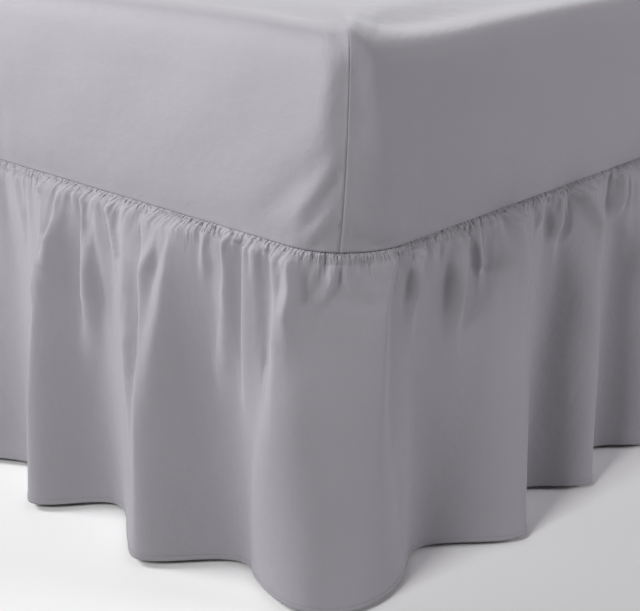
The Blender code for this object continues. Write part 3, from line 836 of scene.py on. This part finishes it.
def cover_flat(points, columns, inset, runs):
    """Places on the flat cover: its top as it lies, and each side folded out flat up to its two seams."""
    edge_run = float(np.interp(0.0, inset[:, 0], runs[:, 0]))
    fold_out = edge_run - runs
    after = np.roll(columns, -1)
    middles = columns + np.mod(after - columns, EDGE_LENGTH) / 2
    starts = np.array([*CORNERS_AT, EDGE_LENGTH])
    sides = np.clip(np.searchsorted(starts, np.mod(middles, EDGE_LENGTH), side="right") - 1, 0, 3)
    side_middles = (starts[:-1] + starts[1:]) / 2
    halves = np.array([BED_WIDTH, BED_LENGTH] * 2) / 2
    outwards = np.array([(1, 0), (0, 1), (-1, 0), (0, -1)])
    forwards = np.array([(0, 1), (-1, 0), (0, -1), (1, 0)])
    on_top = smooth_step(0.0, FLAT_CLOTH_INSET, inset)[:, :, None]
    found = []
    for places, plan in ((columns, points), (after, np.roll(points, -1, axis=1))):
        along = near_edge(places - side_middles[sides])
        folded = outwards[sides] * (halves[sides][:, None] + fold_out[:, :, None])
        folded = folded + forwards[sides] * along[:, None]
        found.append(folded * (1 - on_top) + plan[:, :, :2] * on_top)
    return np.stack(found, axis=2)


class Maths:
    """A shader socket that adds Math nodes when it is used in an expression."""

    def __init__(self, tree, socket):
        self.tree = tree
        self.socket = socket

    def combine(self, operation, first, second):
        node = self.tree.nodes.new("ShaderNodeMath")
        node.operation = operation
        for place, value in enumerate((first, second)):
            if isinstance(value, Maths):
                self.tree.links.new(value.socket, node.inputs[place])
            else:
                node.inputs[place].default_value = value
        return Maths(self.tree, node.outputs[0])

    def __add__(self, other):
        return self.combine("ADD", self, other)

    def __mul__(self, other):
        return self.combine("MULTIPLY", self, other)


class Finish:
    """A material with one Principled BSDF, and methods that add other nodes."""

    def __init__(self, name, **constants):
        self.material = bpy.data.materials.new(name)
        self.material.use_nodes = True
        self.tree = self.material.node_tree
        self.shader = self.tree.nodes["Principled BSDF"]
        for socket, value in constants.items():
            self.shader.inputs[socket.replace("_", " ")].default_value = value

    def node(self, kind, settings=None, **sockets):
        """Adds a node: its settings first, then the values or links of its sockets, and gives the node."""
        made = self.tree.nodes.new(kind)
        for setting, value in (settings or {}).items():
            setattr(made, setting, value)
        for name, value in sockets.items():
            socket = made.inputs[name.replace("_", " ")]
            if isinstance(value, (Maths, bpy.types.NodeSocket)):
                self.link(value, socket)
            else:
                socket.default_value = value
        return made

    def link(self, source, socket):
        self.tree.links.new(source.socket if isinstance(source, Maths) else source, socket)

    def feed(self, name, source):
        self.link(source, self.shader.inputs[name])

    def value(self, node, output=0):
        return Maths(self.tree, node.outputs[output])

    def noise(self, place, scale, detail, **more):
        return self.value(self.node("ShaderNodeTexNoise", Vector=place, Scale=scale, Detail=detail, **more))

    def bump(self, height, strength):
        """Dents the surface by a height in metres."""
        bump = self.node("ShaderNodeBump", Strength=strength, Distance=1.0, Height=height)
        self.feed("Normal", bump.outputs[0])

    def tint(self, share, colour, dark, light):
        """Gives the surface its colour, between a darker and a lighter shade of one."""
        mix = self.node("ShaderNodeMix", {"data_type": "RGBA"})
        self.link(share, mix.inputs[0])
        for socket, factor in ((mix.inputs[6], dark), (mix.inputs[7], light)):
            socket.default_value = (*(min(1.0, channel * factor) for channel in colour), 1)
        self.feed("Base Color", mix.outputs[2])


def woven_cloth(name, settings, gathered=False):
    """Plain weave: faint crossed threads, a few thicker ones, soft wrinkles and uneven dye.

    Gathered cloth is also crimped by its sewing in the first few centimetres below the seam.
    """
    finish = Finish(name, Roughness=settings.roughness, Sheen_Weight=0.16, Sheen_Roughness=0.45)
    flat = finish.node("ShaderNodeUVMap", {"uv_map": "cloth"}).outputs[0]
    threads = []
    for bands in ("X", "Y"):
        wave = finish.node(
            "ShaderNodeTexWave", {"bands_direction": bands},
            Vector=flat, Scale=WAVE_UNIT / settings.thread_pitch, Distortion=0.3, Detail=0.0,
        )
        threads.append(finish.value(wave, 1))
    weave = threads[0] + threads[1]
    slubs = finish.node("ShaderNodeMapping", Vector=flat, Scale=(18.0, 900.0, 1.0))
    slub = finish.noise(slubs.outputs[0], 1.0, 2.0)
    wrinkle = finish.noise(flat, 34.0, 4.0, Roughness=0.55)
    mottle = finish.noise(flat, 9.0, 3.0)
    grain = finish.noise(flat, 420.0, 2.0)
    height = weave * 0.00003 + slub * 0.00012 + wrinkle * 0.0016 + grain * 0.00012
    if gathered:
        up = finish.value(finish.node("ShaderNodeSeparateXYZ", Vector=flat), 1)
        for wide, tall, reach, depth in CRIMPS:
            stretch = finish.node("ShaderNodeMapping", Vector=flat, Scale=(1 / wide, 1 / tall, 1.0))
            crimp = finish.noise(stretch.outputs[0], 1.0, 1.0)
            near_seam = finish.node(
                "ShaderNodeMapRange", {"interpolation_type": "SMOOTHSTEP"},
                Value=up, From_Min=-reach, From_Max=-CRIMP_FULL_SHARE * reach,
            )
            height = height + crimp * finish.value(near_seam) * depth
    finish.bump(height, 0.75)
    finish.tint(mottle * 0.6 + grain * 0.25 + slub * 0.15, settings.colour, 0.93, 1.06)
    return finish.material


def sewing_thread(name, settings):
    """Twisted thread, a shade darker than the cloth."""
    finish = Finish(name, Roughness=0.6, Sheen_Weight=0.2)
    place = finish.node("ShaderNodeTexCoord").outputs["Object"]
    finish.tint(finish.noise(place, 900.0, 1.0), settings.colour, 0.66, 0.86)
    return finish.material


def upholstery_cloth(name, colour):
    """Coarse cloth stretched over a box."""
    finish = Finish(name, Roughness=0.9, Sheen_Weight=0.15)
    place = finish.node("ShaderNodeTexCoord").outputs["Object"]
    grain = finish.noise(place, 700.0, 3.0)
    mottle = finish.noise(place, 12.0, 3.0)
    finish.bump(grain * 0.0004, 0.6)
    finish.tint(grain * 0.6 + mottle * 0.4, colour, 0.86, 1.10)
    return finish.material


def moulded_plastic(name, colour):
    """Fine-grained moulded plastic."""
    finish = Finish(name)
    place = finish.node("ShaderNodeTexCoord").outputs["Object"]
    grain = finish.noise(place, 1500.0, 2.0)
    finish.bump(grain * 0.0001, 0.4)
    finish.feed("Roughness", grain * 0.2 + 0.38)
    finish.tint(grain, colour, 0.9, 1.2)
    return finish.material


def dress(piece, material, slot, *nodes):
    """Gives a piece its material, the body it rides on and the nodes that it stands for. Its slot is not
    used.
    """
    piece.data.materials.clear()
    piece.data.materials.append(material)
    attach(piece, "root")
    if nodes:
        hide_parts(*nodes)


def stitches(name, middles, directions):
    """Short rounded stitches, one at each middle, along its direction."""
    directions = directions / np.linalg.norm(directions, axis=1, keepdims=True)
    sideways = np.cross(directions, STITCH_SIDEWAYS)
    small = np.linalg.norm(sideways, axis=1) < NEARLY_PARALLEL
    sideways[small] = np.cross(directions[small], STITCH_SIDEWAYS_TOO)
    sideways /= np.linalg.norm(sideways, axis=1, keepdims=True)
    square = np.cross(directions, sideways)
    points = [middles - directions * 0.5 * STITCH_LENGTH]
    for along in (-STITCH_SHOULDER, STITCH_SHOULDER):
        for side in range(STITCH_SIDES):
            angle = 2 * math.pi * side / STITCH_SIDES
            ring = sideways * math.cos(angle) + square * math.sin(angle)
            points.append(middles + directions * along * STITCH_LENGTH + ring * STITCH_RADIUS)
    points.append(middles + directions * 0.5 * STITCH_LENGTH)
    each = len(points)
    faces = []
    for side in range(STITCH_SIDES):
        after = (side + 1) % STITCH_SIDES
        first, second = 1 + side, 1 + after
        faces.append((0, second, first))
        faces.append((first, second, second + STITCH_SIDES, first + STITCH_SIDES))
        faces.append((first + STITCH_SIDES, second + STITCH_SIDES, each - 1))
    all_faces = [[i * each + corner for corner in face] for i in range(len(middles)) for face in faces]
    return mesh_object(name, np.stack(points, axis=1), all_faces)


def evenly_along(line, pitch, closed):
    """Middles and directions of stitches spaced evenly along a line of points."""
    if closed:
        line = np.concatenate([line, line[:1]])
    steps = np.linalg.norm(np.diff(line, axis=0), axis=1)
    runs = np.concatenate([[0], steps.cumsum()])
    places = np.arange(pitch / 2, runs[-1] - pitch / 2, pitch)
    read = [np.stack([np.interp(places + gap, runs, line[:, i]) for i in range(3)], axis=1)
            for gap in (-pitch / 4, 0, pitch / 4)]
    return read[1], read[2] - read[0]


class BEDSKIRT_OT_stage(bpy.types.Operator):
    """Make the floor, the lights and the camera"""
    bl_idname = "bedskirt.stage"
    bl_label = "Make Stage"

    def execute(self, context):
        settings = context.scene.bed_skirt_stage
        bpy.ops.object.select_all(action="DESELECT")
        bpy.ops.mesh.primitive_plane_add(size=40, location=(0, 0, 0))
        floor = context.object
        floor.name = floor.data.name = "floor"
        finish = Finish("floor_finish", Roughness=0.95)
        finish.shader.inputs["Base Color"].default_value = (*settings.floor, 1)
        floor.data.materials.append(finish.material)
        for power, *light in LIGHTS:
            self.light(context, getattr(settings, power), *light)
        world = bpy.data.worlds.new("soft_surroundings")
        world.use_nodes = True
        surroundings = world.node_tree.nodes["Background"]
        surroundings.inputs["Color"].default_value = (1, 1, 1, 1)
        surroundings.inputs["Strength"].default_value = settings.ambient
        context.scene.world = world
        context.scene.view_settings.view_transform = "Standard"
        self.camera(context)
        return {"FINISHED"}

    def light(self, context, power, name, place, target, size, colour):
        bpy.ops.object.light_add(type="AREA", location=place)
        lamp = context.object
        lamp.name = name
        lamp.data.size = size
        lamp.data.energy = power
        lamp.data.color = colour
        lamp.data.spread = LIGHT_SPREAD
        lamp.rotation_euler = (Vector(place) - Vector(target)).to_track_quat("Z", "Y").to_euler()

    def camera(self, context):
        turn = (math.pi / 2 - CAMERA_ELEVATION, 0, CAMERA_AZIMUTH)
        bpy.ops.object.camera_add(location=CAMERA_PLACE, rotation=turn)
        camera = context.object
        camera.data.sensor_width = SENSOR_WIDTH
        camera.data.lens = FOCAL_PIXELS * SENSOR_WIDTH / IMAGE_WIDTH
        camera.data.clip_start = 0.01
        context.scene.camera = camera


class BEDSKIRT_OT_cover(bpy.types.Operator):
    """Make the fitted cover with its corner seams"""
    bl_idname = "bedskirt.cover"
    bl_label = "Make Cover"

    def execute(self, context):
        settings = context.scene.bed_skirt_cloth
        puckers = all_puckers()
        columns = cover_columns()
        points, inset, runs = cover_points(columns[None, :], puckers)
        flat = cover_flat(points, columns, inset, runs)
        cover = sheet_object("cover_sheet", points, flat, settings.thickness, capped=True)
        dress(cover, woven_cloth("cover_weave", settings), "cover_cloth", "fitted_cover")
        thread = sewing_thread("corner_thread", settings)
        lines = [self.seam_line(k, puckers) for k in range(len(CORNERS_AT))]
        spots = [evenly_along(line, STITCH_PITCH, closed=False) for line in lines]
        sewing = stitches("corner_stitching", *(np.concatenate(one) for one in zip(*spots)))
        dress(sewing, thread, "cover_cloth")
        return {"FINISHED"}

    def seam_line(self, corner, puckers):
        """The line of stitching beside one corner's seam, just proud of the cloth."""
        below = np.linspace(CORNER_STITCHES_FROM, CORNER_STITCHES_TO, CORNER_LINE_POINTS)
        at = seam_place(corner, below) - CORNER_STITCH_OFFSET
        inset, radius = (
            np.interp(-below, -RINGS_BELOW[:SIDE_RINGS], one[:SIDE_RINGS])
            for one in (RING_INSETS, RING_CORNERS)
        )
        out = cover_out(puckers, at[None, :], below[None, :], 1.0)[0] + STITCH_RADIUS * CORNER_STITCH_PROUD
        point, outward = edge_point(at, inset, radius)
        height = SEAM_HEIGHT + MATTRESS_DEPTH - below - corner_dip(at, below, inset)
        return np.column_stack([point + outward * out[:, None], height])


class BEDSKIRT_OT_mattress(bpy.types.Operator):
    """Make the mattress that fills the cover"""
    bl_idname = "bedskirt.mattress"
    bl_label = "Make Mattress"

    def execute(self, context):
        settings = context.scene.bed_skirt_cloth
        columns = cover_columns()
        points = cover_points(columns[None, :], [], MATTRESS_ROWS)[0]
        points = points - surface_normals(points) * (settings.thickness + MATTRESS_GAP)
        points[0, :, 2] = SEAM_HEIGHT
        number, _, faces = ring_grid(*points.shape[:2])
        ends = [number[-1].tolist(), number[0][::-1].tolist()]
        pad = mesh_object("mattress_pad", points, faces.tolist() + ends)
        ticking = upholstery_cloth("ticking_weave", context.scene.bed_skirt_bed.ticking)
        dress(pad, ticking, "ticking", "mattress")
        return {"FINISHED"}


class BEDSKIRT_OT_frill(bpy.types.Operator):
    """Make the gathered frill with its stitched hem"""
    bl_idname = "bedskirt.frill"
    bl_label = "Make Frill"

    def execute(self, context):
        settings = context.scene.bed_skirt_cloth
        shape = FrillShape()
        columns = EDGE_LENGTH * crowded(np.arange(FRILL_COLUMNS) / FRILL_COLUMNS - 0.5, FRONT_CROWDING)
        points = shape.points(columns[None, :], self.rows()[:, None])
        hem = points[0]
        steps = np.linalg.norm(np.diff(np.concatenate([hem, hem[:1]]), axis=0), axis=1)
        along = np.concatenate([[0], steps.cumsum()])
        flat = strip_flat(points, along)
        frill = sheet_object("frill_sheet", points, flat, settings.thickness, capped=False)
        dress(frill, woven_cloth("frill_weave", settings, gathered=True), "frill_cloth", "frill")
        line = shape.points(columns[None, :], np.array([[1 - HEM_STITCH_AT / DROP]]))[0]
        line = line + surface_normals(points)[1] * STITCH_RADIUS * HEM_STITCH_PROUD
        sewing = stitches("hem_stitching", *evenly_along(line, STITCH_PITCH, closed=True))
        dress(sewing, sewing_thread("hem_thread", settings), "frill_cloth")
        return {"FINISHED"}

    def rows(self):
        """Shares of the drop, from the hem to the seam, close together at both."""
        turn = SEAM_TURN / DROP
        top = np.linspace(0, 1, FRILL_TOP_ROWS) ** FRILL_TOP_CROWDING * FRILL_TOP_SHARE
        low = np.linspace(FRILL_TOP_SHARE, 1 - HEM_DEPTH / DROP, FRILL_LOW_ROWS)
        hem = [1 - share * HEM_DEPTH / DROP for share in (HEM_STEP_AT, HEM_ROW_AT, 0)]
        return np.unique([TUCKED_ROW, *top, turn / 2, turn, *low, *hem])[::-1]


class BEDSKIRT_OT_bed(bpy.types.Operator):
    """Finish the bed base and its feet"""
    bl_idname = "bedskirt.bed"
    bl_label = "Finish Bed Base"

    def execute(self, context):
        settings = context.scene.bed_skirt_bed
        finishes = {
            "bed_base": upholstery_cloth("base_weave", settings.upholstery),
            "foot": moulded_plastic("foot_grain", settings.foot),
        }
        for name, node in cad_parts.items():
            for start, finish in finishes.items():
                if name.startswith(start):
                    node.data.materials.clear()
                    node.data.materials.append(finish)
        return {"FINISHED"}


class BEDSKIRT_PT_panel(bpy.types.Panel):
    """The parts of the bed skirt and their sizes and colours"""
    bl_idname = "BEDSKIRT_PT_panel"
    bl_label = "Fitted Bed Skirt"
    bl_space_type = "VIEW_3D"
    bl_region_type = "UI"
    bl_category = "Bed Skirt"

    def draw(self, context):
        scene = context.scene
        groups = (
            (scene.bed_skirt_cloth, ("colour", "thickness", "thread_pitch", "roughness")),
            (scene.bed_skirt_bed, ("ticking", "upholstery", "foot")),
            (scene.bed_skirt_stage, ("floor", "key", "front", "fill", "back", "ambient")),
        )
        for group, names in groups:
            column = self.layout.column(align=True)
            for name in names:
                column.prop(group, name)
        for operator in OPERATORS:
            self.layout.operator(operator.bl_idname)


OPERATORS = (
    BEDSKIRT_OT_stage, BEDSKIRT_OT_mattress, BEDSKIRT_OT_cover, BEDSKIRT_OT_frill, BEDSKIRT_OT_bed,
)
CLASSES = (BedSkirtCloth, BedSkirtBed, BedSkirtStage, *OPERATORS, BEDSKIRT_PT_panel)


def register():
    for one in CLASSES:
        bpy.utils.register_class(one)
    bpy.types.Scene.bed_skirt_cloth = PointerProperty(type=BedSkirtCloth)
    bpy.types.Scene.bed_skirt_bed = PointerProperty(type=BedSkirtBed)
    bpy.types.Scene.bed_skirt_stage = PointerProperty(type=BedSkirtStage)


def unregister():
    del bpy.types.Scene.bed_skirt_stage
    del bpy.types.Scene.bed_skirt_bed
    del bpy.types.Scene.bed_skirt_cloth
    for one in reversed(CLASSES):
        bpy.utils.unregister_class(one)


def main():
    register()
    bpy.ops.bedskirt.stage()
    bpy.ops.bedskirt.mattress()
    bpy.ops.bedskirt.cover()
    bpy.ops.bedskirt.frill()
    bpy.ops.bedskirt.bed()


if __name__ == "__main__":
    main()
